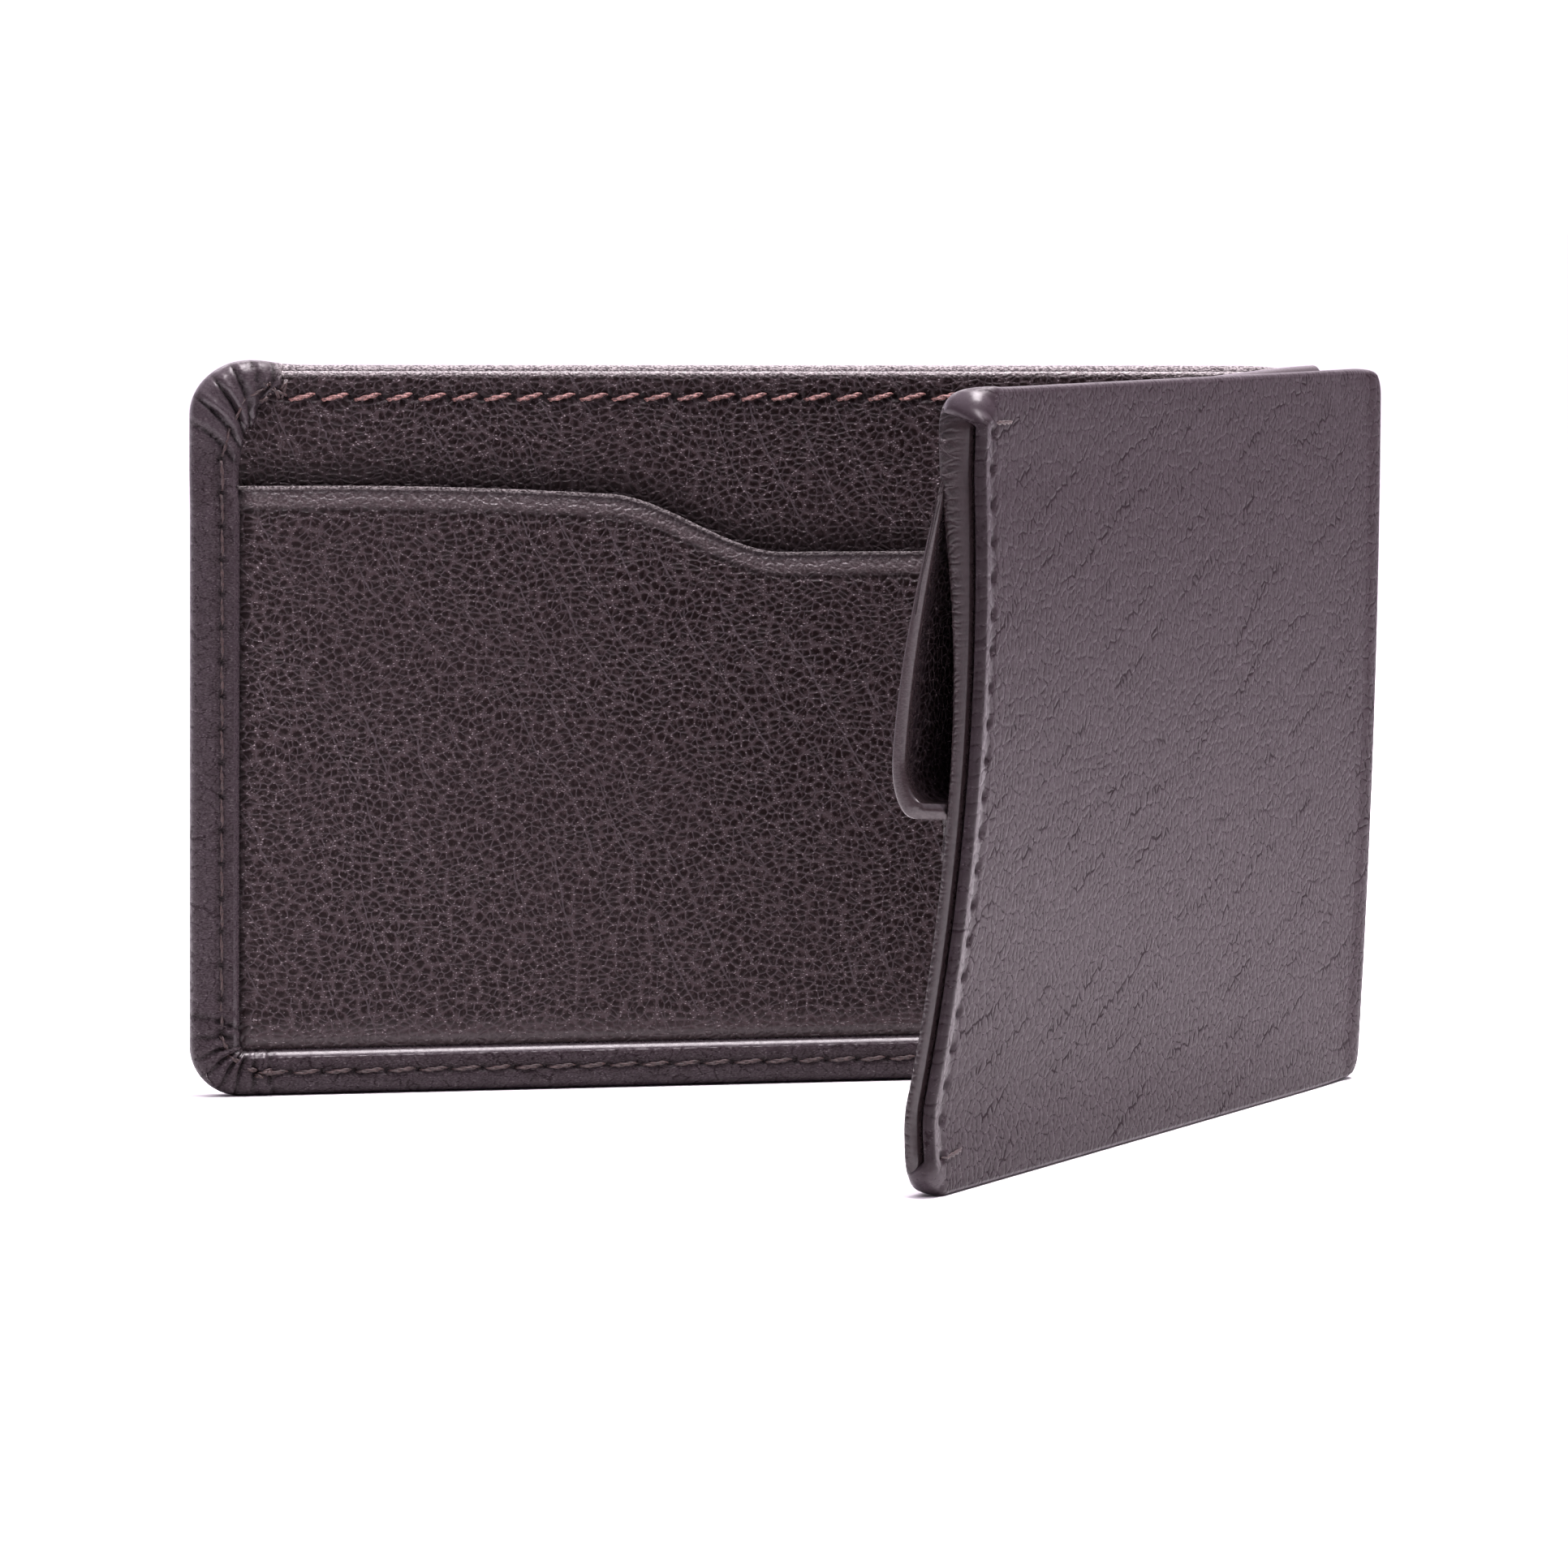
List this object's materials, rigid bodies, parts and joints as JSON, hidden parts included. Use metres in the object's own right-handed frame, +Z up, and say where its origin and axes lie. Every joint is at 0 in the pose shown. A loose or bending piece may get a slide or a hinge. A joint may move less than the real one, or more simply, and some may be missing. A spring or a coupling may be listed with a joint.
{
  "type": "bifold wallet",
  "caption": "Slim bifold leather wallet, half open and standing on its lower edges, with a curved card pocket, a spine and a cover that folds shut.",
  "frame": {"origin": "middle of the lower edge that the back half stands on, halfway through its thickness", "axes": "+X along the back half from its free edge towards the fold, +Y out of the back half's outer face, +Z up"},
  "size_m": [0.1113, 0.0942, 0.067],
  "materials": {
    "outer_leather": "pebbled grain, semi-matte",
    "inner_leather": "fine pebbled grain, semi-matte",
    "board": "pressed fibre board",
    "lining": "thin woven lining",
    "tan_thread": "waxed thread",
    "dark_thread": "waxed thread"
  },
  "bodies": {
    "back": {"back_skin": "outer_leather", "back_board": "board", "back_liner": "inner_leather", "card_pocket": "inner_leather", "card_pocket_lining": "lining", "back_top_thread": "tan_thread", "back_side_thread": "dark_thread", "back_bottom_thread": "dark_thread", "card_pocket_thread": "dark_thread"},
    "spine": {"spine_skin": "outer_leather", "spine_lining": "inner_leather"},
    "cover": {"cover_skin": "outer_leather", "cover_board": "board", "cover_lining": "lining", "cover_inner_panel": "inner_leather", "note_pocket_wall": "inner_leather", "cover_edge_thread": "dark_thread", "cover_tack_thread": "tan_thread", "note_pocket_low_thread": "dark_thread", "note_pocket_far_thread": "dark_thread"}
  },
  "joints": [
    {"name": "fold_back", "type": "hinge", "parent": "back", "child": "spine", "pos_m": [0.053, 0.0005, 0], "axis": [0, 0, -1], "range_deg": [-64, 26]},
    {"name": "fold_cover", "type": "hinge", "parent": "spine", "child": "cover", "pos_m": [0.05703, -0.00777, 0], "axis": [0, 0, -1], "range_deg": [-64, 26]}
  ],
  "couplings": [
    {"joint": "fold_cover", "follows": "fold_back", "ratio": 1}
  ]
}
